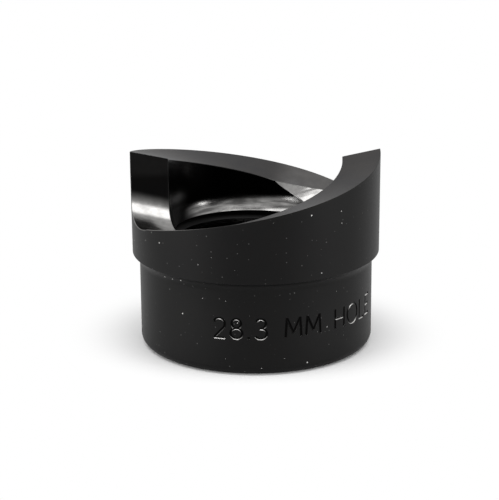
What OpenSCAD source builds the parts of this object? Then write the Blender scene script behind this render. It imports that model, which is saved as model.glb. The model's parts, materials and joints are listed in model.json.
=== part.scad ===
// Knockout punch: one turned steel cup with a helical cutting ramp behind each tooth
// and a threaded hole through its base for the draw stud.
// The axis is Z, the base stands on z = 0, and the first tooth face lies in the XZ plane.

/* [Cutting head] */
// Diameter across the cutting edges at the tooth tips
head_d = 28.3; // [28:0.1:30]
// Diameter lost between the tips and the back edge of the head
head_relief = 0.1; // [0:0.05:0.3]
// Height of the head, from its back edge to the tooth tips
head_h = 11.5; // [10.5:0.1:14]

/* [Teeth] */
// Teeth around the rim
tooth_count = 2; // [2:1:3]
// Rise of each ramp from its root to its tip
ramp_rise = 8.55; // [6:0.05:9.5]
// Angle by which the rim falls from the cutting edge to the chamber at the tips
hollow_angle = 11.5; // [4:0.5:16]
// Angle by which that fall grows from each tip down to the root
hollow_gain = 4; // [0:0.5:8]
// Radius of the gullet at the root of each tooth
root_r = 4.8; // [3:0.1:4.9]
// Angle by which the gullet falls from the cutting edge to the chamber
root_angle = 13.5; // [6:0.5:18]

/* [Body] */
// Diameter of the body below the head
body_d = 26.6; // [25.5:0.1:27]
// Height of the body, from the base to the back edge of the head
body_h = 10.7; // [9:0.1:14]
// Radius of the hollow that runs from the body out to the back of the head
neck_r = 1.4; // [0.6:0.1:2.5]
// Width of the flat ring left at the back edge of the head
back_land = 0.1; // [0.05:0.05:0.2]
// Rounding of the base edge
base_edge_r = 1.0; // [0.2:0.1:1.2]

/* [Chamber and thread] */
// Diameter of the slug chamber inside the teeth
chamber_d = 19.7; // [19:0.1:21]
// Radius that runs from the chamber wall down to the threaded hole
floor_r = 3.2; // [0.8:0.1:4]
// Diameter of the threaded hole at the thread crests
thread_d = 17.5; // [16.5:0.1:18.5]
// Height of the threaded hole, from the base to the chamber floor
thread_l = 12.35; // [11:0.05:13]
// Chamfer at the mouth of the threaded hole
lead_in = 0.8; // [0.3:0.1:1.2]

/* [Hidden] */
$fn = 128;

black_oxide = [0.13, 0.13, 0.14];
// Overrun of each cut past the surface it has to clear
cut_margin = 1;
// Angle by which each ramp cut runs on past its tip
tip_overrun = 2;
// Depth by which the gullet runs below the ramp at the cutting edge
root_sink = 0.05;
// Sweep steps along the ramp, and stations across the rim
ramp_steps = 48;
rim_stations = 4;

total_h = body_h + head_h;
head_r = head_d / 2;
back_r = head_r - head_relief / 2;
body_r = body_d / 2;
chamber_r = chamber_d / 2;
thread_r = thread_d / 2;

// The hollow touches the body wall and ends at the flat ring on the back of the head
back_step = back_r - body_r;
neck_w = min(back_step - back_land, neck_r);
neck_h = sqrt(pow(neck_r, 2) - pow(neck_r - neck_w, 2));

// The floor curve touches the chamber wall and ends at the rim of the threaded hole
floor_w = min(chamber_r - thread_r, floor_r);
floor_h = sqrt(pow(floor_r, 2) - pow(floor_r - floor_w, 2));

// Each ramp takes an equal share of the turn
ramp_span = 360 / tooth_count;

// Height of the ramp at a radius and an angle past its own tooth face
function ramp_z(r, angle) =
    let (down = 1 - angle / ramp_span)
    total_h - ramp_rise * down - (head_r - r) * tan(hollow_angle + hollow_gain * down);

// The gullet is a straight round groove along the tooth face that falls inwards.
// At the cutting edge it touches the ramp where both have the same slope.
root_turn = 90 + atan(ramp_rise / (ramp_span * PI / 180 * head_r));
root_y = root_r * (1 - cos(root_turn));
root_x = sqrt(pow(head_r, 2) - pow(root_y, 2));

// Height of the gullet's axis at that point
root_z = ramp_z(head_r, asin(root_y / head_r)) + root_r * sin(root_turn) / cos(root_angle) - root_sink;

// Angle at which the ramp leaves the gullet at a radius
function ramp_start(r) = asin(root_y / r);

// Point of the ramp as [angle, height]
function ramp_point(r, step) =
    let (angle = ramp_start(r) + (ramp_span + tip_overrun - ramp_start(r)) * step / ramp_steps)
    [angle, ramp_z(r, angle)];

function polar(r, angle, z) = [r * cos(angle), r * sin(angle), z];

// The space that the cutter clears above one ramp, from the gullet to the next tip
module ramp_cut() {
    inner_r = chamber_r - cut_margin;
    outer_r = head_r + cut_margin;
    top_z = total_h + 2 * cut_margin;
    stations = [for (i = [0 : rim_stations - 1]) inner_r + (outer_r - inner_r) * i / (rim_stations - 1)];
    ring = rim_stations + 2;
    points = [
        for (step = [0 : ramp_steps])
            let (outer_angle = ramp_point(outer_r, step)[0], inner_angle = ramp_point(inner_r, step)[0])
            each concat(
                [for (r = stations) let (p = ramp_point(r, step)) polar(r, p[0], p[1])],
                [polar(outer_r, outer_angle, top_z), polar(inner_r, inner_angle, top_z)]
            )
    ];
    sides = [
        for (step = [0 : ramp_steps - 1], i = [0 : ring - 1])
            let (a = step * ring + i, b = step * ring + (i + 1) % ring)
            each [[a, b, a + ring], [b, b + ring, a + ring]]
    ];
    first_end = [for (i = [ring - 1 : -1 : 0]) i];
    last_end = [for (i = [0 : ring - 1]) ramp_steps * ring + i];
    polyhedron(points, concat(sides, [first_end, last_end]));
}

// The groove along one tooth face, open above, from the middle of the chamber out past the edge
module gullet() {
    run = root_x / cos(root_angle);
    translate([root_x, root_r, root_z]) rotate([0, -root_angle, 0]) translate([-run, 0, 0])
        rotate([90, 0, 90]) linear_extrude(run + 4 * cut_margin) {
            circle(root_r);
            translate([-root_r, 0]) square([2 * root_r, total_h]);
        }
}

// Outer profile of the turned blank, left a little taller than the tips
module blank_profile() {
    blank_h = total_h + cut_margin;
    blank_r = head_r + (head_r - back_r) * cut_margin / head_h;
    square([body_r - base_edge_r, body_h]);
    translate([0, base_edge_r]) square([body_r, body_h - base_edge_r]);
    translate([body_r - base_edge_r, base_edge_r]) circle(base_edge_r);
    translate([body_r, body_h - neck_h]) difference() {
        square([min(back_step, neck_r), neck_h]);
        translate([neck_r, 0]) circle(neck_r);
    }
    polygon([[0, body_h], [back_r, body_h], [blank_r, blank_h], [0, blank_h]]);
}

// Profile of the slug chamber: a straight wall that curves in to the threaded hole
module chamber_profile() {
    wall_z = thread_l + floor_h;
    translate([0, wall_z]) square([chamber_r, total_h + 2 * cut_margin - wall_z]);
    translate([0, thread_l]) square([chamber_r - floor_r, floor_h]);
    translate([chamber_r - floor_r, wall_z]) circle(floor_r);
}

module threaded_hole() {
    translate([0, 0, -cut_margin]) cylinder(r = thread_r, h = thread_l + 2 * cut_margin);
    translate([0, 0, -cut_margin])
        cylinder(r1 = thread_r + lead_in + cut_margin, r2 = thread_r, h = lead_in + cut_margin);
}

module punch_body() {
    color(black_oxide) difference() {
        rotate_extrude() blank_profile();
        rotate_extrude() chamber_profile();
        threaded_hole();
        for (i = [0 : tooth_count - 1]) rotate([0, 0, i * ramp_span]) {
            ramp_cut();
            gullet();
        }
    }
}

punch_body();
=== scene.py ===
# %% [markdown]
# # A knockout punch in Blender
# A knockout punch cuts the round hole that a conduit fitting needs in a steel box.
# It is one piece of tool steel: a turned cup, two cutting teeth milled on its rim, a tapped hole
# in its base for the draw stud, and a black oxide finish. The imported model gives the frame, the
# size and the threaded hole. This lesson follows the workshop: turn, mill, stamp, break the edges,
# tap, blacken, and then set the punch on a table in front of a camera.

# %% Load the frame
import json
import math

import bpy
from mathutils import Matrix, Vector


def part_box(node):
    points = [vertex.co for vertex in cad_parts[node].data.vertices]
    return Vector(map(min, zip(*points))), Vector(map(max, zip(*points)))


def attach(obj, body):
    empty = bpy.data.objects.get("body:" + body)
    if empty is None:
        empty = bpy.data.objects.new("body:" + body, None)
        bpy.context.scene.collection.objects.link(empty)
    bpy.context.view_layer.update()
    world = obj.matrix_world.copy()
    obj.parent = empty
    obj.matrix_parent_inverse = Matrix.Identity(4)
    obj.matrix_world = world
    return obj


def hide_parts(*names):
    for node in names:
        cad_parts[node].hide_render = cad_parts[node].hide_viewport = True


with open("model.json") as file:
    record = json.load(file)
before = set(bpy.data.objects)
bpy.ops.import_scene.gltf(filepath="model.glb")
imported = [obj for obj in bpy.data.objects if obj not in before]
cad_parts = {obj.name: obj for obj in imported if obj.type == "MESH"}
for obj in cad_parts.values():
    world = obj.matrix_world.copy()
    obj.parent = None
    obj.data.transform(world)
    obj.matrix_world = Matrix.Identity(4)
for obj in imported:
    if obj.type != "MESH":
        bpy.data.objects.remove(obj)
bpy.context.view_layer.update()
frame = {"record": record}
scene = bpy.context.scene
scene.view_settings.view_transform = "Standard"
MM = 0.001

# %% [markdown]
# ## Sizes
# The head's radius and the height come from the frame's box, and the hole from the record's
# mount, so that they can't drift from the solid. The other sizes repeat the workshop drawing,
# in millimetres turned to metres. A mesh in metres needs no scaling later.

# %% Sizes of the punch
low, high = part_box("punch_body")
HEAD_R = (high.x - low.x) / 2
TOTAL_H = high.z - low.z
thread_mount = next(m for m in frame["record"]["mounts"] if m["name"] == "draw_stud_thread")
HOLE_R = thread_mount["dims"]["r_mm"] * MM
HEAD_H = 11.5 * MM
BACK_R = HEAD_R - 0.05 * MM
BODY_R = 13.3 * MM
NECK_R = 1.4 * MM
BACK_LAND = 0.1 * MM
BASE_EDGE_R = 1.0 * MM
CHAMBER_R = 9.85 * MM
FLOOR_R = 3.2 * MM
FLOOR_Z = 12.35 * MM
LEAD_IN = 0.8 * MM
RAMP_RISE = 8.55 * MM
HOLLOW_ANGLE = math.radians(11.5)
HOLLOW_GAIN = math.radians(4)
ROOT_ANGLE = math.radians(13.5)
ROOT_R = 4.8 * MM
ROOT_SINK = 0.05 * MM
TEETH = 2
BODY_H = TOTAL_H - HEAD_H
RAMP_SPAN = 2 * math.pi / TEETH
print("head radius", round(HEAD_R / MM, 3), "height", round(TOTAL_H / MM, 3), "hole", HOLE_R / MM)

# %% [markdown]
# ## The camera
# The photograph looks a little down at the punch from close by, so the far rim looks clearly
# smaller than the near one. A pinhole camera was fitted to the outlines of head, body and ramps.
# It is written here as a place and three turns, and no lens shift is needed.

# %% Camera
CAMERA_DISTANCE = 194.96 * MM
CAMERA_ABOVE_TIPS = 47.02 * MM
CAMERA_PITCH = 0.2930
CAMERA_YAW = -0.0037
CAMERA_ROLL = -0.0077
TOOTH_TURN = 0.0276
FOCAL_PIXELS = 1773.6
FRAME_PIXELS = 500
SENSOR_WIDTH_MM = 36
CLIP_NEAR, CLIP_FAR = 1 * MM, 100


def linked(name, data):
    """A new object, linked into the scene."""
    obj = bpy.data.objects.new(name, data)
    scene.collection.objects.link(obj)
    return obj


def photo_camera():
    """Make the camera from its place in front of the punch and its pitch, yaw and roll."""
    sin_p, cos_p = math.sin(CAMERA_PITCH), math.cos(CAMERA_PITCH)
    sin_y, cos_y = math.sin(CAMERA_YAW), math.cos(CAMERA_YAW)
    right = Vector((cos_y, -sin_y, 0))
    ahead = Vector((cos_p * sin_y, cos_p * cos_y, -sin_p))
    up = Vector((sin_p * sin_y, sin_p * cos_y, cos_p))
    rolled_right = right * math.cos(CAMERA_ROLL) + up * math.sin(CAMERA_ROLL)
    rolled_up = up * math.cos(CAMERA_ROLL) - right * math.sin(CAMERA_ROLL)
    axes = Matrix((rolled_right, rolled_up, -ahead)).transposed().to_4x4()
    place = Matrix.Translation((0, -CAMERA_DISTANCE, TOTAL_H + CAMERA_ABOVE_TIPS))
    data = bpy.data.cameras.new("photo_camera")
    data.sensor_width = SENSOR_WIDTH_MM
    data.lens = FOCAL_PIXELS * SENSOR_WIDTH_MM / FRAME_PIXELS
    data.clip_start, data.clip_end = CLIP_NEAR, CLIP_FAR
    camera = linked("photo_camera", data)
    camera.matrix_world = Matrix.Rotation(-TOOTH_TURN, 4, "Z") @ place @ axes
    scene.camera = camera
    return camera


camera = photo_camera()
camera_place = [round(v / MM, 1) for v in camera.matrix_world.translation]
print("camera lens", round(camera.data.lens, 1), "mm, place in mm", camera_place)

# %% [markdown]
# ## Small helpers for node trees
# Every node tree below is built in code. `grow` adds one node, sets it up and wires its inputs:
# a value that is a socket is linked, anything else becomes the input's own number. `calculator`
# gives a short way to write sums in a tree.

# %% Node helpers
def grow(tree, kind, inputs=None, **settings):
    """Add a node, set its properties, and fill or link its inputs by name or number."""
    node = tree.nodes.new(kind)
    for name, value in settings.items():
        setattr(node, name, value)
    for key, value in (inputs or {}).items():
        if isinstance(value, bpy.types.NodeSocket):
            tree.links.new(value, node.inputs[key])
        else:
            node.inputs[key].default_value = value
    return node


def calculator(tree):
    """A function that adds one Math node to the tree and gives its result."""
    def calc(operation, *terms):
        return grow(tree, "ShaderNodeMath", dict(enumerate(terms)), operation=operation).outputs[0]
    return calc


print("node helpers ready")

# %% [markdown]
# ## Trees with named inputs
# A geometry tree is easier to reuse when its sizes are inputs with names. The modifier that runs
# it keeps its own values for them, stored under each socket's identifier.

# %% Tree helpers
def geometry_tree(name, inputs):
    """A Geometry Nodes tree with a geometry input and output, and named inputs for its sizes."""
    tree = bpy.data.node_groups.new(name, "GeometryNodeTree")
    tree.interface.new_socket("Geometry", in_out="INPUT", socket_type="NodeSocketGeometry")
    tree.interface.new_socket("Geometry", in_out="OUTPUT", socket_type="NodeSocketGeometry")
    for label, kind in inputs.items():
        tree.interface.new_socket(label, in_out="INPUT", socket_type="NodeSocket" + kind)
    return tree, tree.nodes.new("NodeGroupInput").outputs, tree.nodes.new("NodeGroupOutput").inputs


def add_nodes_modifier(obj, tree, values):
    """Hang a tree on an object and set the tree's inputs by their identifiers."""
    modifier = obj.modifiers.new(tree.name, "NODES")
    modifier.node_group = tree
    for item in tree.interface.items_tree:
        if item.item_type == "SOCKET" and item.in_out == "INPUT" and item.name in values:
            modifier[item.identifier] = values[item.name]


print("tree helpers ready")

# %% [markdown]
# ## The turned section
# On the lathe the punch is one outline turned about its axis. The outline runs from the base
# edge up the outside, over the top of the blank, down the chamber wall, round the floor curve to
# the hole and back to the base. Round stretches are arcs. The blank is a little taller than the
# tips, because the milling takes its top away. Rows of points on the body wall keep its faces
# short where the size is stamped, so that each closed letter keeps its middle. Each surface has a
# finish number, which later picks its material.

# %% Section outline
BLANK_OVER = 0.6 * MM
STAMP_ROW_STEP = 0.35
STAMP_ROWS = [row * STAMP_ROW_STEP * MM for row in range(10, 20)]
BASE_EDGE_STEPS, NECK_STEPS, FLOOR_STEPS = 8, 8, 10
OUTSIDE, INSIDE, LAND, TOOTH_FACE, THREAD, STAMP = range(6)


def arc(centre, radius, start, end, steps):
    """Points along an arc in the section plane, angles in degrees."""
    angles = [math.radians(start + (end - start) * i / steps) for i in range(steps + 1)]
    return [(centre[0] + radius * math.cos(a), centre[1] + radius * math.sin(a)) for a in angles]


def turned_section():
    """The closed outline as (radius, height) points, and for each edge which finish it gets."""
    neck_w = BACK_R - BODY_R - BACK_LAND
    neck_turn = math.degrees(math.acos(1 - neck_w / NECK_R))
    neck_z = BODY_H - NECK_R * math.sin(math.radians(neck_turn))
    floor_turn = math.degrees(math.acos(1 - (CHAMBER_R - HOLE_R) / FLOOR_R))
    wall_z = FLOOR_Z + FLOOR_R * math.sin(math.radians(floor_turn))
    blank_r = HEAD_R + (HEAD_R - BACK_R) * BLANK_OVER / HEAD_H
    outside = arc((BODY_R - BASE_EDGE_R, BASE_EDGE_R), BASE_EDGE_R, -90, 0, BASE_EDGE_STEPS)
    outside += [(BODY_R, z) for z in STAMP_ROWS]
    outside += arc((BODY_R + NECK_R, neck_z), NECK_R, 180, 180 - neck_turn, NECK_STEPS)
    outside += [(BACK_R, BODY_H), (blank_r, TOTAL_H + BLANK_OVER)]
    inside = [(CHAMBER_R, TOTAL_H + BLANK_OVER)]
    inside += arc((CHAMBER_R - FLOOR_R, wall_z), FLOOR_R, 0, -floor_turn, FLOOR_STEPS)
    inside += [(HOLE_R, LEAD_IN), (HOLE_R + LEAD_IN, 0)]
    finishes = [OUTSIDE] * len(outside) + [INSIDE] * (len(inside) - 1) + [OUTSIDE]
    return outside + inside, finishes


def section_mesh():
    """A mesh that only carries the outline's points, with the finish as an attribute."""
    points, finishes = turned_section()
    mesh = bpy.data.meshes.new("punch_section")
    mesh.from_pydata([(r, 0, z) for r, z in points], [], [])
    finish = mesh.attributes.new("finish", "INT", "POINT")
    finish.data.foreach_set("value", finishes)
    return mesh, len(points)


section, SECTION_POINTS = section_mesh()
print("section points:", SECTION_POINTS)

# %% [markdown]
# ## Where the gullet lies
# Each tooth is an upright flat face with a round gullet at its foot, which a ball-nosed cutter
# leaves when it runs straight along the face. The gullet has to meet the ramp where both have the
# same slope, or a ridge would stand between them. The place could be found by eye. It is worked
# out instead, so that the two cuts stay together when a size changes.

# %% Gullet place
ROOT_TURN = math.pi / 2 + math.atan(RAMP_RISE / (RAMP_SPAN * HEAD_R))
ROOT_Y = ROOT_R * (1 - math.cos(ROOT_TURN))
ROOT_X = math.sqrt(HEAD_R ** 2 - ROOT_Y ** 2)
TOUCH_Z = TOTAL_H - RAMP_RISE * (1 - math.asin(ROOT_Y / HEAD_R) / RAMP_SPAN)
ROOT_Z = TOUCH_Z + ROOT_R * math.sin(ROOT_TURN) / math.cos(ROOT_ANGLE) - ROOT_SINK
AXIS_Z = ROOT_Z - ROOT_X * math.tan(ROOT_ANGLE)
print("gullet meets the ramp", round(ROOT_Y / MM, 2), "mm from the tooth face")
print("gullet axis height in mm:", round(AXIS_Z / MM, 2))

# %% [markdown]
# ## The rule of the ramps
# From its gullet each ramp climbs as a helix to the next tip, and it falls inwards so that the
# outer edge cuts first. On a mill the blank turns while the cutter rises. Here the same rule is
# written as sums in nodes: a grid's column gives the angle, and angle and radius give the height.
# The columns lie closer near the gullet, where the ramp starts along a line that isn't radial.

# %% Ramp rules
GULLET_COLUMNS, NEAR_COLUMNS, RAMP_COLUMNS, RIM_STATIONS = 28, 26, 80, 6
NEAR_END = math.radians(82)
FAR_STEP = (RAMP_SPAN - NEAR_END) / (RAMP_COLUMNS - NEAR_COLUMNS)


def ramp_angle(calc, sizes, radius, column):
    """Angle of a ramp column: from the gullet's line to a radial one, then even up the ramp."""
    start = calc("ARCSINE", calc("DIVIDE", sizes["Gullet reach"], radius))
    near = calc("MINIMUM", calc("DIVIDE", column, NEAR_COLUMNS), 1)
    first = calc("ADD", start, calc("MULTIPLY", near, calc("SUBTRACT", NEAR_END, start)))
    far = calc("MAXIMUM", calc("SUBTRACT", column, NEAR_COLUMNS), 0)
    return calc("ADD", first, calc("MULTIPLY", far, FAR_STEP))


def ramp_height(calc, sizes, radius, angle):
    """Height of the ramp: it climbs with the angle and falls inwards, more so towards the root."""
    down = calc("SUBTRACT", 1, calc("DIVIDE", angle, RAMP_SPAN))
    gain = calc("MULTIPLY", sizes["Hollow gain"], down)
    slope = calc("TANGENT", calc("ADD", sizes["Hollow angle"], gain))
    fall = calc("MULTIPLY", calc("SUBTRACT", sizes["Head radius"], radius), slope)
    edge = calc("SUBTRACT", sizes["Total height"], calc("MULTIPLY", sizes["Ramp rise"], down))
    return calc("SUBTRACT", edge, fall)


print("columns for each ramp:", RAMP_COLUMNS, "step up the ramp:", round(math.degrees(FAR_STEP), 2))

# %% [markdown]
# ## Grids bent to a rule
# A turned or milled surface is a sheet that follows a rule, so a flat grid can become any of
# them: each point asks for its column and row, and a rule says where it goes. The finish number
# is stored on the faces, because attributes outlive the cuts that follow.

# %% Grid helpers
ROUND_GUARD = 0.5


def polar(calc, radius, angle, height):
    """The coordinates of a point at a radius, an angle and a height."""
    x = calc("MULTIPLY", radius, calc("COSINE", angle))
    y = calc("MULTIPLY", radius, calc("SINE", angle))
    return x, y, height


def placed_grid(tree, columns, rows, place):
    """A grid whose points go where place(column, row) says."""
    calc = calculator(tree)
    index = tree.nodes.new("GeometryNodeInputIndex").outputs[0]
    grid = grow(tree, "GeometryNodeMeshGrid", {"Vertices X": columns, "Vertices Y": rows})
    column = calc("FLOOR", calc("DIVIDE", calc("ADD", index, ROUND_GUARD), rows))
    row = calc("SUBTRACT", index, calc("MULTIPLY", column, rows))
    x, y, z = place(calc, column, row)
    position = grow(tree, "ShaderNodeCombineXYZ", {"X": x, "Y": y, "Z": z}).outputs[0]
    return grow(tree, "GeometryNodeSetPosition", {
        "Geometry": grid.outputs["Mesh"], "Position": position}).outputs[0]


def keep_finish(tree, geometry, finish):
    """Store the finish number on the faces, so that it outlives the Boolean steps."""
    return grow(tree, "GeometryNodeStoreNamedAttribute", {
        "Geometry": geometry, "Name": "finish", "Value": finish},
        data_type="INT", domain="FACE").outputs[0]


def stored_finish(tree):
    """The finish number that a face or a section point carries."""
    return grow(tree, "GeometryNodeInputNamedAttribute", {"Name": "finish"}, data_type="INT").outputs[0]


print("grid helpers ready")

# %% [markdown]
# ## The turned blank
# The lathe leaves a body of revolution. Blender's Screw modifier could turn the outline with even
# steps. A grid is used instead, because its columns can lie where the gullets and ramps have
# theirs, which gives the later cuts clean edges.

# %% Blank
def turned_blank(tree, sizes):
    """The section turned about the axis, with each face's finish taken from its edge."""
    in_gullet = GULLET_COLUMNS // 2
    per_ramp = in_gullet + RAMP_COLUMNS

    def sample(calc, value, index, data_type):
        wrapped = calc("MODULO", calc("ADD", index, ROUND_GUARD), SECTION_POINTS)
        return grow(tree, "GeometryNodeSampleIndex", {
            "Geometry": sizes["Geometry"], "Value": value, "Index": calc("FLOOR", wrapped)},
            data_type=data_type, domain="POINT").outputs[0]

    def place(calc, column, row):
        position = tree.nodes.new("GeometryNodeInputPosition").outputs[0]
        point = sample(calc, position, row, "FLOAT_VECTOR")
        parts = grow(tree, "ShaderNodeSeparateXYZ", {0: point}).outputs
        ramp = calc("FLOOR", calc("DIVIDE", calc("ADD", column, ROUND_GUARD), per_ramp))
        own = calc("SUBTRACT", column, calc("MULTIPLY", ramp, per_ramp))
        share = calc("MINIMUM", calc("DIVIDE", own, in_gullet), 1)
        on_ramp = calc("MAXIMUM", calc("SUBTRACT", own, in_gullet), 0)
        angle = calc("MULTIPLY", share, ramp_angle(calc, sizes, sizes["Head radius"], on_ramp))
        angle = calc("ADD", angle, calc("MULTIPLY", ramp, RAMP_SPAN))
        return polar(calc, parts["X"], angle, parts["Z"])

    blank = placed_grid(tree, TEETH * per_ramp + 1, SECTION_POINTS + 1, place)
    edge = tree.nodes.new("GeometryNodeInputIndex").outputs[0]
    return keep_finish(tree, blank, sample(calculator(tree), stored_finish(tree), edge, "INT"))


print("blank columns:", TEETH * (GULLET_COLUMNS // 2 + RAMP_COLUMNS) + 1)

# %% [markdown]
# ## What the cutters clear
# A milling cutter takes away all that lies above the surface it leaves. So each milled surface,
# ramp or gullet, is a bent grid raised to a solid. The surface keeps its own finish, and the
# upright sides become tooth faces.

# %% Cutter spaces
CUT_MARGIN = 1.0 * MM
WELD = 0.001 * MM


def welded(tree, geometry, distance):
    """Points closer than a distance become one."""
    return grow(tree, "GeometryNodeMergeByDistance", {
        "Geometry": geometry, "Distance": distance}).outputs[0]


def raised(tree, sizes, surface, finish):
    """The space above a milled surface: its own finish below, tooth faces on the sides."""
    surface = keep_finish(tree, surface, finish)
    upward = grow(tree, "GeometryNodeFlipFaces", {0: surface}).outputs[0]
    lift = grow(tree, "ShaderNodeCombineXYZ", {"Z": sizes["Total height"]}).outputs[0]
    sides = grow(tree, "GeometryNodeExtrudeMesh", {
        "Mesh": upward, "Offset": lift, "Individual": False}).outputs["Mesh"]
    both = grow(tree, "GeometryNodeJoinGeometry")
    tree.links.new(keep_finish(tree, sides, TOOTH_FACE), both.inputs[0])
    tree.links.new(surface, both.inputs[0])
    return welded(tree, both.outputs[0], WELD)


def ramp_cut(tree, sizes):
    """The space above one ramp, from the gullet to just past the next tip."""
    inner = CHAMBER_R - CUT_MARGIN
    outer = HEAD_R + CUT_MARGIN

    def place(calc, column, row):
        across = calc("MULTIPLY", row, (outer - inner) / (RIM_STATIONS - 1))
        radius = calc("ADD", inner, across)
        angle = ramp_angle(calc, sizes, radius, column)
        return polar(calc, radius, angle, ramp_height(calc, sizes, radius, angle))

    return raised(tree, sizes, placed_grid(tree, RAMP_COLUMNS + 2, RIM_STATIONS, place), LAND)


def gullet_cut(tree, sizes):
    """The space above one gullet: half a round groove along X, from the axis out past the edge."""
    def place(calc, column, row):
        turn = calc("MULTIPLY", column, math.pi / GULLET_COLUMNS)
        x = calc("MULTIPLY", row, HEAD_R + CUT_MARGIN)
        y = calc("MULTIPLY", sizes["Gullet radius"], calc("SUBTRACT", 1, calc("COSINE", turn)))
        axis = calc("ADD", sizes["Gullet axis"], calc("MULTIPLY", x, math.tan(ROOT_ANGLE)))
        depth = calc("MULTIPLY", sizes["Gullet radius"], calc("SINE", turn))
        return x, y, calc("SUBTRACT", axis, calc("DIVIDE", depth, math.cos(ROOT_ANGLE)))

    return raised(tree, sizes, placed_grid(tree, GULLET_COLUMNS + 1, 2, place), TOOTH_FACE)


print("cutter spaces for each tooth: ramp and gullet")

# %% [markdown]
# ## Turning and milling in one tree
# The tree turns the blank and takes the cutters' spaces away with exact Booleans, for the second
# tooth turned by half a turn. The cuts leave some points very close together, and welding them
# lets the edges be broken cleanly later. At the end each finish number gets its material.

# %% Form tree
CUT_WELD = 0.08 * MM
FORM_SIZES = ("Head radius", "Total height", "Ramp rise", "Hollow angle", "Hollow gain",
              "Gullet radius", "Gullet reach", "Gullet axis")
FORM_FINISHES = {"Outside": OUTSIDE, "Inside": INSIDE, "Land": LAND, "Tooth face": TOOTH_FACE}


def cut_away(tree, geometry, cutter):
    """Subtract a cutter."""
    return grow(tree, "GeometryNodeMeshBoolean", {"Mesh 1": geometry, "Mesh 2": cutter},
                operation="DIFFERENCE", solver="EXACT").outputs["Mesh"]


def realized(tree, geometry):
    """Instances made real, because the export drops them."""
    return grow(tree, "GeometryNodeRealizeInstances", {"Geometry": geometry}).outputs[0]


def set_finish(tree, geometry, number, material):
    """Give the faces that carry a finish number its material."""
    chosen = grow(tree, "FunctionNodeCompare", {"A": stored_finish(tree), "B": number},
                  data_type="INT", operation="EQUAL").outputs[0]
    return grow(tree, "GeometryNodeSetMaterial", {
        "Geometry": geometry, "Selection": chosen, "Material": material}).outputs[0]


def form_tree():
    inputs = dict.fromkeys(FORM_SIZES, "Float") | {"Edge": "Material"}
    tree, sizes, out = geometry_tree("turn_and_mill", inputs | dict.fromkeys(FORM_FINISHES, "Material"))
    body = welded(tree, turned_blank(tree, sizes), WELD)
    for cut in (gullet_cut(tree, sizes), ramp_cut(tree, sizes)):
        for tooth in range(TEETH):
            turned = grow(tree, "GeometryNodeTransform", {
                "Geometry": cut, "Rotation": (0, 0, tooth * RAMP_SPAN)}).outputs[0]
            body = cut_away(tree, body, turned)
    body = realized(tree, welded(tree, body, CUT_WELD))
    body = grow(tree, "GeometryNodeSetMaterial", {"Geometry": body, "Material": sizes["Edge"]}).outputs[0]
    for label, number in FORM_FINISHES.items():
        body = set_finish(tree, body, number, sizes[label])
    tree.links.new(body, out[0])
    return tree


form = form_tree()
print("form tree nodes:", len(form.nodes))

# %% [markdown]
# ## Stamping the size
# A punch carries its size on the base, struck into the steel with letter stamps. Only the plain
# diameter is struck here. The face of a letter stamp is a thin rounded ridge, so each letter is
# drawn as strokes one unit high. Bows are parts of an ellipse, and a bow that closes is a ring.

# %% Letter strokes
STAMP_TEXT = "28.3 MM HOLE"
STAMP_SIZE = 2.25 * MM
LETTER_GAP = 0.26
SAME_POINT = 1e-6


def bow(across, up, half_width, half_height, start, end, steps=16):
    """Points along part of an ellipse, angles in degrees."""
    angles = [math.radians(start + (end - start) * i / steps) for i in range(steps + 1)]
    return [(across + half_width * math.cos(a), up + half_height * math.sin(a)) for a in angles]


LETTERS = {
    "2": (0.58, [bow(0.29, 0.71, 0.28, 0.29, 165, -35) + [(0.04, 0.02)], [(0, 0), (0.58, 0)]]),
    "3": (0.58, [bow(0.28, 0.76, 0.25, 0.24, 150, -88), bow(0.28, 0.26, 0.3, 0.26, 97, -150)]),
    "8": (0.60, [bow(0.3, 0.76, 0.23, 0.24, 0, 360), bow(0.3, 0.26, 0.29, 0.26, 0, 360)]),
    ".": (0.08, [[(0.04, 0), (0.04, 0.1)]]),
    "M": (0.80, [[(0, 0), (0.06, 1)], [(0.07, 0.98), (0.4, 0.2)], [(0.4, 0.22), (0.73, 0.98)],
                 [(0.74, 1), (0.8, 0)]]),
    "H": (0.62, [[(0, 0), (0, 1)], [(0.62, 0), (0.62, 1)], [(0, 0.5), (0.62, 0.5)]]),
    "O": (0.86, [bow(0.43, 0.5, 0.43, 0.5, 0, 360, 24)]),
    "L": (0.48, [[(0, 1), (0, 0), (0.48, 0)]]),
    "E": (0.50, [[(0.5, 1), (0, 1), (0, 0), (0.5, 0)], [(0, 0.52), (0.42, 0.52)]]),
    " ": (0.40, []),
}


def stroke_mesh(words, size):
    """A flat mesh of edges: the strokes of the words, side by side."""
    points, edges, left = [], [], 0
    for letter in words:
        width, strokes = LETTERS[letter]
        for stroke in strokes:
            ring = math.dist(stroke[0], stroke[-1]) < SAME_POINT
            used = stroke[:-1] if ring else stroke
            first = len(points)
            points += [((left + x) * size, y * size, 0) for x, y in used]
            edges += [(first + i, first + i + 1) for i in range(len(used) - 1)]
            edges += [(len(points) - 1, first)] if ring else []
        left += width + LETTER_GAP
    mesh = bpy.data.meshes.new("stamp_strokes")
    mesh.from_pydata(points, edges, [])
    return mesh


strokes = stroke_mesh(STAMP_TEXT, STAMP_SIZE)
print("stroke points:", len(strokes.vertices))

# %% [markdown]
# ## Wrapping the strokes round the body
# The strokes follow a path, so a tree sweeps a small round section along them, wraps the result
# round the body and subtracts it. Strokes that cross stay separate cutters, because one mesh that
# crosses itself confuses a Boolean. The letters are round-bottomed grooves, and their lower sides
# catch the light, helped by a painted glint that their finish puts on sides that look up. The tree
# also marks the sharp edges outside the stamped band, which the next step in the workshop breaks.

# %% Stamp tree
STROKE_R = 0.16 * MM
STROKE_SIDES = 24
STAMP_DEPTH = 0.09 * MM
STAMP_ANGLE = math.radians(-112)
STAMP_Z = 4.3 * MM
SHARP_EDGE = math.radians(35)


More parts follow.
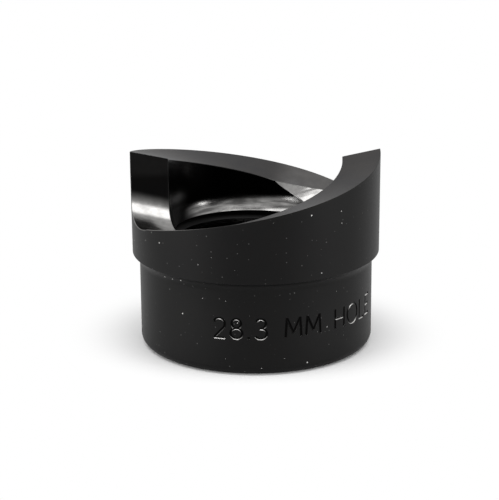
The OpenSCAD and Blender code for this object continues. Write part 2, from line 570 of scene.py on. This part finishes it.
def wrapped_ridges(tree, sizes, spot):
    """The swept strokes bent round the body, each one an instance of its own."""
    calc = calculator(tree)
    drawn = grow(tree, "GeometryNodeObjectInfo", {"Object": sizes["Strokes"]}).outputs["Geometry"]
    path = grow(tree, "GeometryNodeMeshToCurve", {"Mesh": drawn}).outputs[0]
    circle = grow(tree, "GeometryNodeCurvePrimitiveCircle", {
        "Resolution": STROKE_SIDES, "Radius": sizes["Stroke radius"]}).outputs["Curve"]
    ridge = grow(tree, "GeometryNodeCurveToMesh", {
        "Curve": path, "Profile Curve": circle, "Fill Caps": True}).outputs[0]
    angle = calc("ADD", sizes["Angle"], calc("DIVIDE", spot["X"], sizes["Body radius"]))
    lift = calc("SUBTRACT", sizes["Stroke radius"], sizes["Depth"])
    radius = calc("ADD", calc("ADD", sizes["Body radius"], lift), spot["Z"])
    x, y, z = polar(calc, radius, angle, calc("ADD", sizes["Height"], spot["Y"]))
    position = grow(tree, "ShaderNodeCombineXYZ", {"X": x, "Y": y, "Z": z}).outputs[0]
    ridge = grow(tree, "GeometryNodeSetPosition", {"Geometry": ridge, "Position": position}).outputs[0]
    ridge = grow(tree, "GeometryNodeTriangulate", {"Mesh": ridge}).outputs[0]
    island = tree.nodes.new("GeometryNodeInputMeshIsland").outputs["Island Index"]
    return grow(tree, "GeometryNodeSplitToInstances", {"Geometry": ridge, "Group ID": island},
                domain="FACE").outputs[0]


def stamp_tree():
    tree, sizes, out = geometry_tree("stamp_size", {
        "Strokes": "Object", "Stroke radius": "Float", "Depth": "Float", "Angle": "Float",
        "Height": "Float", "Body radius": "Float", "Stroke": "Material"})
    calc = calculator(tree)
    position = tree.nodes.new("GeometryNodeInputPosition").outputs[0]
    spot = grow(tree, "ShaderNodeSeparateXYZ", {0: position}).outputs
    ridges = keep_finish(tree, wrapped_ridges(tree, sizes, spot), STAMP)
    body = cut_away(tree, sizes["Geometry"], ridges)
    bend = tree.nodes.new("GeometryNodeInputMeshEdgeAngle").outputs["Unsigned Angle"]
    band_middle = calc("ADD", sizes["Height"], STAMP_SIZE / 2)
    rise = calc("ABSOLUTE", calc("SUBTRACT", spot["Z"], band_middle))
    sharp = calc("GREATER_THAN", bend, SHARP_EDGE)
    broken = calc("MULTIPLY", sharp, calc("GREATER_THAN", rise, STAMP_SIZE))
    body = grow(tree, "GeometryNodeStoreNamedAttribute", {
        "Geometry": body, "Name": "bevel_weight_edge", "Value": broken},
        data_type="FLOAT", domain="EDGE").outputs[0]
    tree.links.new(set_finish(tree, realized(tree, body), STAMP, sizes["Stroke"]), out[0])
    return tree


stamp = stamp_tree()
print("stamp tree nodes:", len(stamp.nodes))

# %% [markdown]
# ## Tapping the hole
# The draw stud screws into the base with a fine right-hand thread, sixteen turns to the inch. A
# tap cuts a sixty degree groove that climbs round the hole. The groove follows a path, so another
# tree sweeps a trapezoid along a spiral and subtracts it. It runs out past both ends of the hole,
# as a tap does.

# %% Thread tree
THREAD_PITCH = 25.4 * MM / 16
THREAD_TOP_R = 9.525 * MM
THREAD_UNDER = 0.15 * MM
THREAD_STEPS = 72
THREAD_FLANK = math.radians(30)
THREAD_FLAT = 0.125


def thread_tree():
    tree, sizes, out = geometry_tree("tap_thread", {
        "Pitch": "Float", "Inner radius": "Float", "Groove radius": "Float", "Length": "Float",
        "Start": "Float", "Thread": "Material"})
    calc = calculator(tree)
    middle = calc("MULTIPLY", calc("ADD", sizes["Inner radius"], sizes["Groove radius"]), 0.5)
    depth = calc("SUBTRACT", sizes["Groove radius"], sizes["Inner radius"])
    path = grow(tree, "GeometryNodeCurveSpiral", {
        "Resolution": THREAD_STEPS, "Rotations": calc("DIVIDE", sizes["Length"], sizes["Pitch"]),
        "Start Radius": middle, "End Radius": middle, "Height": sizes["Length"],
        "Reverse": True}).outputs[0]
    shift = grow(tree, "ShaderNodeCombineXYZ", {"Z": sizes["Start"]}).outputs[0]
    path = grow(tree, "GeometryNodeSetPosition", {"Geometry": path, "Offset": shift}).outputs[0]
    path = grow(tree, "GeometryNodeSetCurveNormal", {"Curve": path}, mode="Z_UP").outputs[0]
    root = calc("MULTIPLY", sizes["Pitch"], THREAD_FLAT)
    mouth = calc("ADD", root, calc("MULTIPLY", depth, 2 * math.tan(THREAD_FLANK)))
    groove = grow(tree, "GeometryNodeCurvePrimitiveQuadrilateral", {
        "Bottom Width": mouth, "Top Width": root, "Offset": 0, "Height": depth},
        mode="TRAPEZOID").outputs[0]
    groove = grow(tree, "GeometryNodeTransform", {
        "Geometry": groove, "Rotation": (0, 0, -math.pi / 2)}).outputs[0]
    swept = grow(tree, "GeometryNodeCurveToMesh", {
        "Curve": path, "Profile Curve": groove, "Fill Caps": True}).outputs[0]
    body = cut_away(tree, sizes["Geometry"], keep_finish(tree, swept, THREAD))
    tree.links.new(set_finish(tree, realized(tree, body), THREAD, sizes["Thread"]), out[0])
    return tree


thread = thread_tree()
print("thread tree nodes:", len(thread.nodes))

# %% [markdown]
# ## Helpers for the finish
# Black oxide is a thin dark skin on the steel, a little blue or brown from place to place, with
# the satin of the turned surface under it. It could be painted on an image. It is written as a
# shader on object coordinates instead, so that it needs no unwrapping and stays sharp close up.
# These helpers mix two colours, turn a range into a soft step, and unroll the wall to a flat map.

# %% Shader helpers
def mixed(tree, factor, first, second):
    """A colour between two, each a socket or a plain colour."""
    node = grow(tree, "ShaderNodeMix", {0: factor}, data_type="RGBA")
    for number, value in ((6, first), (7, second)):
        if isinstance(value, bpy.types.NodeSocket):
            tree.links.new(value, node.inputs[number])
        else:
            node.inputs[number].default_value = tuple(value) + (1,)
    return node.outputs[2]


def ramped(tree, value, low, high):
    """0 below low, 1 above high, smooth between; low may be the larger one."""
    return grow(tree, "ShaderNodeMapRange", {"Value": value, "From Min": low, "From Max": high},
                interpolation_type="SMOOTHSTEP").outputs[0]


def noise(tree, vector, scale, detail, **inputs):
    """The level of a cloudy pattern."""
    settings = {"Vector": vector, "Scale": scale, "Detail": detail} | inputs
    return grow(tree, "ShaderNodeTexNoise", settings).outputs[0]


def wall_map(tree, place):
    """Angle and height on the body's wall as a flat vector, and the three coordinates."""
    calc = calculator(tree)
    x, y, z = grow(tree, "ShaderNodeSeparateXYZ", {0: place}).outputs
    around = calc("MULTIPLY", calc("ARCTAN2", y, x), BODY_R)
    return grow(tree, "ShaderNodeCombineXYZ", {"X": around, "Y": z}).outputs[0], (x, y, z)


print("shader helpers ready")

# %% [markdown]
# ## Dust and lint
# A black tool that has been handled carries pale specks and a few curled fibres. They could be
# small meshes, but marks in the shader are enough at this size. They lie on the map of angle and
# height, so that every one of them is on the wall and not under it. A speck is the middle of a
# ragged cell, and a fibre is a thin level line of a cloudy pattern.

# %% Dust and lint
DUST_CELL, FINE_DUST_CELL, LINT_CELL = 1.3 * MM, 0.55 * MM, 4.1 * MM
RAGGED_SCALE, RAGGED_SHIFT = 5, 0.1
LINT_SCALE, LINT_LEVEL, LINT_WIDTH, LINT_REACH = 2.4, 0.5, 0.011, 0.22


def cell_pattern(tree, flat, cell):
    """Flat ragged cells: the distance to each cell's seed, and its random numbers."""
    ragged = grow(tree, "ShaderNodeTexNoise", {
        "Vector": flat, "Scale": RAGGED_SCALE / cell, "Detail": 1}).outputs["Color"]
    shift = grow(tree, "ShaderNodeVectorMath", {0: ragged, 1: (RAGGED_SHIFT * cell,) * 3},
                 operation="MULTIPLY").outputs[0]
    bent = grow(tree, "ShaderNodeVectorMath", {0: flat, 1: shift}, operation="ADD").outputs[0]
    cells = grow(tree, "ShaderNodeTexVoronoi", {"Vector": bent, "Scale": 1 / cell},
                 voronoi_dimensions="2D")
    pick = grow(tree, "ShaderNodeSeparateColor", {0: cells.outputs["Color"]}).outputs
    return cells.outputs["Distance"], pick


def specks(tree, flat, cell, share, largest):
    """Small spots: one in some of the cells."""
    calc = calculator(tree)
    distance, pick = cell_pattern(tree, flat, cell)
    size = calc("MULTIPLY", calc("POWER", pick[1], 2), largest)
    return calc("MULTIPLY", calc("LESS_THAN", distance, size), calc("LESS_THAN", pick[0], share))


def lint(tree, flat, cell, share):
    """Short curled fibres: a thin level line of a noise, kept near the seeds of some cells."""
    calc = calculator(tree)
    distance, pick = cell_pattern(tree, flat, cell)
    level = noise(tree, flat, LINT_SCALE / cell, 0)
    line = calc("LESS_THAN", calc("ABSOLUTE", calc("SUBTRACT", level, LINT_LEVEL)), LINT_WIDTH)
    near = calc("LESS_THAN", distance, LINT_REACH)
    return calc("MULTIPLY", calc("MULTIPLY", line, near), calc("LESS_THAN", pick[0], share))


print("dust cells in mm:", [round(cell / MM, 2) for cell in (DUST_CELL, FINE_DUST_CELL, LINT_CELL)])

# %% [markdown]
# ## Black oxide
# The skin has slow clouds of tone and a fine grain in roughness and bump. Where chips rub, it is
# thin and the steel shines through, so there the shader is a metal whose reflectance follows a
# rule of its own. On the stamped letters such a rule paints a glint instead. One function makes
# every finish of the punch, because they differ only in tone, gloss, dust and that rule.

# %% Black oxide
CLOUD_SCALE, CLOUD_ROUGHNESS, RUB_SCALE, GRAIN_SCALE = 190, 0.6, 900, 5200
COOL_OXIDE, WARM_OXIDE = (0.67, 0.69, 0.78), (1.4, 1.3, 1.2)
BARE_STEEL = (1.0, 0.985, 0.965)
DUST_TONE = (0.42, 0.416, 0.405)
GLOSS_SWING = 0.12
GRAIN, GRAIN_DEPTH = 0.05, 0.05 * MM
DUST_SIZE, FINE_DUST_SIZE = 0.062, 0.12
FINE_DUST_SHOWS, LINT_SHOWS, DUST_ROUGHNESS = 0.12, 0.4, 0.4


def dirt_marks(tree, flat, dust, fibres):
    """Where dust and lint lie, and how strongly they show."""
    calc = calculator(tree)
    large = specks(tree, flat, DUST_CELL, dust, DUST_SIZE)
    small = calc("MULTIPLY", specks(tree, flat, FINE_DUST_CELL, dust, FINE_DUST_SIZE), FINE_DUST_SHOWS)
    curled = calc("MULTIPLY", lint(tree, flat, LINT_CELL, fibres), LINT_SHOWS)
    return calc("MAXIMUM", large, calc("MAXIMUM", small, curled))


def black_oxide(name, tone, roughness, specular, dust=0.0, fibres=0.0, shine=None, grazing=1.0):
    """Black oxide steel, with dust and lint, or with bare shine where a rule puts it: worn, or on the
    letters a painted glint.
    """
    material = bpy.data.materials.new(name)
    material.use_nodes = True
    tree = material.node_tree
    calc = calculator(tree)
    shader = tree.nodes["Principled BSDF"]
    shader.inputs["Specular IOR Level"].default_value = specular
    place = tree.nodes.new("ShaderNodeTexCoord").outputs["Object"]
    flat, spot = wall_map(tree, place)
    clouds = noise(tree, place, CLOUD_SCALE, 5, Roughness=CLOUD_ROUGHNESS)
    cool, warm = ([tone * share for share in tint] for tint in (COOL_OXIDE, WARM_OXIDE))
    base = mixed(tree, clouds, cool, warm)
    fine = noise(tree, place, GRAIN_SCALE, 3)
    rough = calc("ADD", roughness - GLOSS_SWING / 2, calc("MULTIPLY", fine, GLOSS_SWING))
    if shine:
        rubbed = calc("ADD", 0.5, noise(tree, place, RUB_SCALE, 4))
        base = mixed(tree, calc("MULTIPLY", shine(tree, calc, spot), rubbed), base, BARE_STEEL)
        shader.inputs["Metallic"].default_value = 1
        shader.inputs["Specular Tint"].default_value = (grazing, grazing, grazing, 1)
    if dust:
        dirt = dirt_marks(tree, flat, dust, fibres)
        base = mixed(tree, dirt, base, DUST_TONE)
        rough = calc("ADD", rough, calc("MULTIPLY", dirt, DUST_ROUGHNESS))
    tree.links.new(base, shader.inputs["Base Color"])
    tree.links.new(rough, shader.inputs["Roughness"])
    bump = grow(tree, "ShaderNodeBump", {"Height": fine, "Strength": GRAIN, "Distance": GRAIN_DEPTH})
    tree.links.new(bump.outputs[0], shader.inputs["Normal"])
    return material


print("black oxide ready")

# %% [markdown]
# ## Where the steel shines
# Slugs land on the curve above the thread and slide out over the low ends of the ramps, the chips
# rub the gullets, and every edge loses its oxide first. A mask could be painted by hand. Each rule
# below gives the reflectance from the place on the punch instead, so that it follows the form.

# %% Shine in the chamber and gullets
FLOOR_SHINE, ROOT_SHINE, FACE_SHINE, LAND_SHINE = 0.2, 0.25, 0.005, 0.05
CURVE_ZONE = FLOOR_Z + 2.2 * MM, FLOOR_Z + 0.9 * MM
BESIDE_FACES = 4.5 * MM, 7.5 * MM
STREAK_SQUEEZE, STREAK_SCALE, STREAK_ZONE, STREAK_BASE = 0.15, 2400, (0.3, 0.7), 0.45
RUBBED_ZONE = 0.35 * MM, 1.35 * MM
FACE_ZONE = 18.9 * MM, 20 * MM
LAND_ZONE = math.radians(80), math.radians(64)


def chamber_shine(tree, calc, spot):
    """The curve between wall and thread, away from the tooth faces."""
    low = ramped(tree, spot[2], *CURVE_ZONE)
    beside = ramped(tree, calc("ABSOLUTE", spot[1]), *BESIDE_FACES)
    squeezed = calc("MULTIPLY", spot[0], STREAK_SQUEEZE)
    ring = grow(tree, "ShaderNodeCombineXYZ", {"X": squeezed, "Z": spot[2]}).outputs[0]
    streaks = ramped(tree, noise(tree, ring, STREAK_SCALE, 2), *STREAK_ZONE)
    level = calc("MULTIPLY", calc("ADD", streaks, STREAK_BASE), FLOOR_SHINE)
    return calc("MULTIPLY", calc("MULTIPLY", low, beside), level)


def root_shine(tree, calc, spot):
    """The gullet in front of each tooth face, and a little of the flat face above it."""
    ahead = calc("MULTIPLY", spot[1], calc("SIGN", spot[0]))
    rubbed = calc("MULTIPLY", ramped(tree, ahead, *RUBBED_ZONE), ROOT_SHINE)
    return calc("ADD", rubbed, calc("MULTIPLY", ramped(tree, spot[2], *FACE_ZONE), FACE_SHINE))


def land_shine(tree, calc, spot):
    """The low end of each ramp, where slugs slide out."""
    turn = calc("ADD", calc("ARCTAN2", spot[1], spot[0]), 2 * math.pi)
    past_face = calc("MODULO", turn, RAMP_SPAN)
    return calc("MULTIPLY", ramped(tree, past_face, *LAND_ZONE), LAND_SHINE)


print("shine of floor, gullet, face and land:", FLOOR_SHINE, ROOT_SHINE, FACE_SHINE, LAND_SHINE)

# %% [markdown]
# ## Worn edges and painted glints on the letters
# A broken edge shows a thin line of steel, most of all along the low ends of the cutting edges.
# A stamped letter gets a painted glint, bright steel on the sides that look up towards the lamp.

# %% Worn edges and painted glints on letters
# The last value is the strength of the painted glint on the letters.
EDGE_SHINE, LOW_EDGE_SHINE, STROKE_PAINTED_GLINT = 0.012, 0.22, 0.6
LOW_EDGE_TOP = 17 * MM, 14.5 * MM
LOW_EDGE_FOOT = 12 * MM, 13 * MM
# How far a stroke's side must face up before its painted glint starts, and where it is full.
PAINTED_GLINT_FACING = 0.3, 0.8


def edge_shine(tree, calc, spot):
    """Every broken edge, and most of all the low ends of the cutting edges."""
    low = calc("MULTIPLY", ramped(tree, spot[2], *LOW_EDGE_TOP), ramped(tree, spot[2], *LOW_EDGE_FOOT))
    return calc("ADD", EDGE_SHINE, calc("MULTIPLY", low, LOW_EDGE_SHINE))


def stroke_painted_glint(tree, calc, spot):
    """Painted glint: bright steel on the sides of a stamped stroke that look up."""
    normal = tree.nodes.new("ShaderNodeNewGeometry").outputs["Normal"]
    upward = grow(tree, "ShaderNodeSeparateXYZ", {0: normal}).outputs["Z"]
    return calc("MULTIPLY", ramped(tree, upward, *PAINTED_GLINT_FACING), STROKE_PAINTED_GLINT)


print("shine of edges, low edges and letters:", EDGE_SHINE, LOW_EDGE_SHINE, STROKE_PAINTED_GLINT)

# %% [markdown]
# ## The finishes of the punch
# The oxide looks different on each surface: satin and dusty outside, smooth and dark in the
# chamber, greyer on the milled land, and dull in the thread. Each gets a material of its own, so
# that one of them can be tuned without the others.

# %% Materials
outside = black_oxide("oxide_outside", tone=0.0025, roughness=0.45, specular=0.1, dust=0.17, fibres=0.028)
inside = black_oxide("oxide_chamber", tone=0.0025, roughness=0.22, specular=0.5, shine=chamber_shine)
land = black_oxide("oxide_land", tone=0.05, roughness=0.42, specular=0.5, shine=land_shine, grazing=0.7)
tooth_face = black_oxide("oxide_tooth_face", tone=0.004, roughness=0.22, specular=0.5,
                         shine=root_shine, grazing=0.4)
groove = black_oxide("oxide_thread", tone=0.003, roughness=0.3, specular=0.16)
# The letters' finish has a painted glint on the sides that look up.
stroke = black_oxide("oxide_stroke_painted_glint", tone=0.003, roughness=0.36, specular=0.5, shine=stroke_painted_glint)
edge = black_oxide("worn_edge", tone=0.004, roughness=0.4, specular=0.5, shine=edge_shine)
print("materials:", [m.name for m in bpy.data.materials])

# %% [markdown]
# ## The workshop steps in order
# The trees work on one object: turn and mill, stamp, break the edges, tap. A Bevel modifier breaks
# the marked edges by a few hundredths of a millimetre and leaves the letters alone, and its faces
# get the worn finish. The cuts leave an empty first material slot, so the worn finish lies in the
# second. Bevel only takes a slot that the starting mesh has, so that mesh is given two.

# %% Workshop steps
EDGE_BREAK = 0.05 * MM
EDGE_SEGMENTS = 2
EDGE_SLOT = 1
THREAD_OVERRUN = 1.5 * THREAD_PITCH


def worked_blank(ridge):
    """The section as an object, with every workshop step hung on it as a modifier."""
    for slot in range(EDGE_SLOT + 1):
        section.materials.append(edge)
    work = linked("punch_work", section)
    add_nodes_modifier(work, form, {
        "Head radius": HEAD_R, "Total height": TOTAL_H, "Ramp rise": RAMP_RISE,
        "Hollow angle": HOLLOW_ANGLE, "Hollow gain": HOLLOW_GAIN, "Gullet radius": ROOT_R,
        "Gullet reach": ROOT_Y, "Gullet axis": AXIS_Z, "Edge": edge, "Outside": outside,
        "Inside": inside, "Land": land, "Tooth face": tooth_face})
    add_nodes_modifier(work, stamp, {
        "Strokes": ridge, "Stroke radius": STROKE_R, "Depth": STAMP_DEPTH, "Angle": STAMP_ANGLE,
        "Height": STAMP_Z, "Body radius": BODY_R, "Stroke": stroke})
    bevel = work.modifiers.new("break_edges", "BEVEL")
    bevel.limit_method = "WEIGHT"
    bevel.width, bevel.segments, bevel.material = EDGE_BREAK, EDGE_SEGMENTS, EDGE_SLOT
    bevel.use_clamp_overlap = False
    add_nodes_modifier(work, thread, {
        "Pitch": THREAD_PITCH, "Inner radius": HOLE_R - THREAD_UNDER, "Groove radius": THREAD_TOP_R,
        "Length": FLOOR_Z + 2 * THREAD_OVERRUN, "Start": -THREAD_OVERRUN, "Thread": groove})
    return work


ridge = linked("stamp_ridge", strokes)
work = worked_blank(ridge)
print("workshop steps:", [modifier.name for modifier in work.modifiers])

# %% [markdown]
# ## One piece
# The punch is a single piece, so the result is kept as one plain mesh and the work object goes.
# The empty slot is taken out. Faces are shaded smooth up to a small angle, which keeps the round
# walls round and stops the broken edges from tinting the flat faces beside them.

# %% Body
SMOOTH_ANGLE = math.radians(18)


def plain_mesh(obj):
    """What the modifiers make of an object, as a mesh without the empty first slot."""
    graph = bpy.context.evaluated_depsgraph_get()
    mesh = bpy.data.meshes.new_from_object(obj.evaluated_get(graph), depsgraph=graph)
    mesh.name = "punch"
    mesh.materials.pop(index=0)
    mesh.shade_smooth()
    mesh.set_sharp_from_angle(angle=SMOOTH_ANGLE)
    return mesh


punch = linked("punch", plain_mesh(work))
bpy.data.objects.remove(work)
bpy.data.objects.remove(ridge)
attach(punch, "root")
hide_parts("punch_body")
print("punch faces:", len(punch.data.polygons))
print("punch materials:", [m.name if m else None for m in punch.data.materials])

# %% [markdown]
# ## The table
# The punch stands on a plain pale table. Close to the base the table is an ordinary surface that
# takes the soft shadow. Farther out, the rays that show the background see plain white, so a pale
# picture needs no more light on the steel, and the steel mirrors the same white.

# %% Table
FLOOR_HALF = 3.0
FLOOR_COLOUR = (0.93, 0.93, 0.93, 1)
FLOOR_ROUGHNESS = 0.9
SHADOW_ZONE = 0.013, 0.023
WHITE = (1, 1, 1, 1)


def seen_ray(tree):
    """1 for the rays that show the background: straight, mirrored or through glass."""
    calc = calculator(tree)
    ray = tree.nodes.new("ShaderNodeLightPath").outputs
    mirrored = calc("MAXIMUM", ray["Is Glossy Ray"], ray["Is Transmission Ray"])
    return calc("MAXIMUM", ray["Is Camera Ray"], mirrored)


def pale_table():
    """A matt pale surface near the punch that turns to plain background farther out."""
    material = bpy.data.materials.new("pale_table")
    material.use_nodes = True
    tree = material.node_tree
    shader = tree.nodes["Principled BSDF"]
    shader.inputs["Base Color"].default_value = FLOOR_COLOUR
    shader.inputs["Roughness"].default_value = FLOOR_ROUGHNESS
    shader.inputs["Specular IOR Level"].default_value = 0
    calc = calculator(tree)
    place = tree.nodes.new("ShaderNodeTexCoord").outputs["Object"]
    away = grow(tree, "ShaderNodeVectorMath", {0: place}, operation="LENGTH").outputs["Value"]
    white = grow(tree, "ShaderNodeEmission", {"Color": WHITE, "Strength": 1}).outputs[0]
    far = calc("MULTIPLY", ramped(tree, away, *SHADOW_ZONE), seen_ray(tree))
    mix = grow(tree, "ShaderNodeMixShader", {0: far, 1: shader.outputs[0], 2: white}).outputs[0]
    tree.links.new(mix, tree.nodes["Material Output"].inputs["Surface"])
    return material


def make_floor(half):
    """A wide square at the height of the base."""
    corners = [(-half, -half, 0), (half, -half, 0), (half, half, 0), (-half, half, 0)]
    mesh = bpy.data.meshes.new("floor")
    mesh.from_pydata(corners, [], [(0, 1, 2, 3)])
    mesh.materials.append(pale_table())
    return linked("floor", mesh)


floor = make_floor(FLOOR_HALF)
print("table width in m:", round(floor.dimensions.x, 1))

# %% [markdown]
# ## Lamps and room
# Dark satin steel shows its form by what it mirrors. A wide lamp overhead lights the round chamber
# and the gullets, two long low lamps at the sides draw bright edges down the walls, and a pale
# room fills the rest. Area lamps are used because their mirror images have soft ends.

# %% Lamps
AIM = (0, 0, 0.015)
LAMPS = {
    "overhead_lamp": dict(place=(0, -0.07, 0.37), target=(0, -0.05, 0.015), width=0.5, length=0.18,
                          watts=0.9),
    "left_lamp": dict(place=(-0.42, -0.19, 0.055), target=AIM, width=0.34, length=0.1, watts=1.8),
    "right_lamp": dict(place=(0.42, -0.22, 0.055), target=AIM, width=0.34, length=0.1, watts=1.5),
}
ROOM_LEVEL = 0.6


def area_lamp(name, place, target, width, length, watts):
    """A rectangular lamp turned towards a target."""
    data = bpy.data.lights.new(name, "AREA")
    data.shape, data.size, data.size_y, data.energy = "RECTANGLE", width, length, watts
    lamp = linked(name, data)
    lamp.location = place
    lamp.rotation_euler = (Vector(target) - Vector(place)).to_track_quat("-Z", "Y").to_euler()
    return lamp


def room_light(level):
    """A pale room that lights the punch at a level, and is white where it is seen."""
    world = bpy.data.worlds.new("room")
    scene.world = world
    world.use_nodes = True
    tree = world.node_tree
    calc = calculator(tree)
    strength = calc("ADD", level, calc("MULTIPLY", seen_ray(tree), 1 - level))
    background = tree.nodes["Background"]
    background.inputs["Color"].default_value = WHITE
    tree.links.new(strength, background.inputs["Strength"])
    return world


lamps = [area_lamp(name, **setup) for name, setup in LAMPS.items()]
room = room_light(ROOM_LEVEL)
print("lamps:", [lamp.name for lamp in lamps], "world:", room.name)
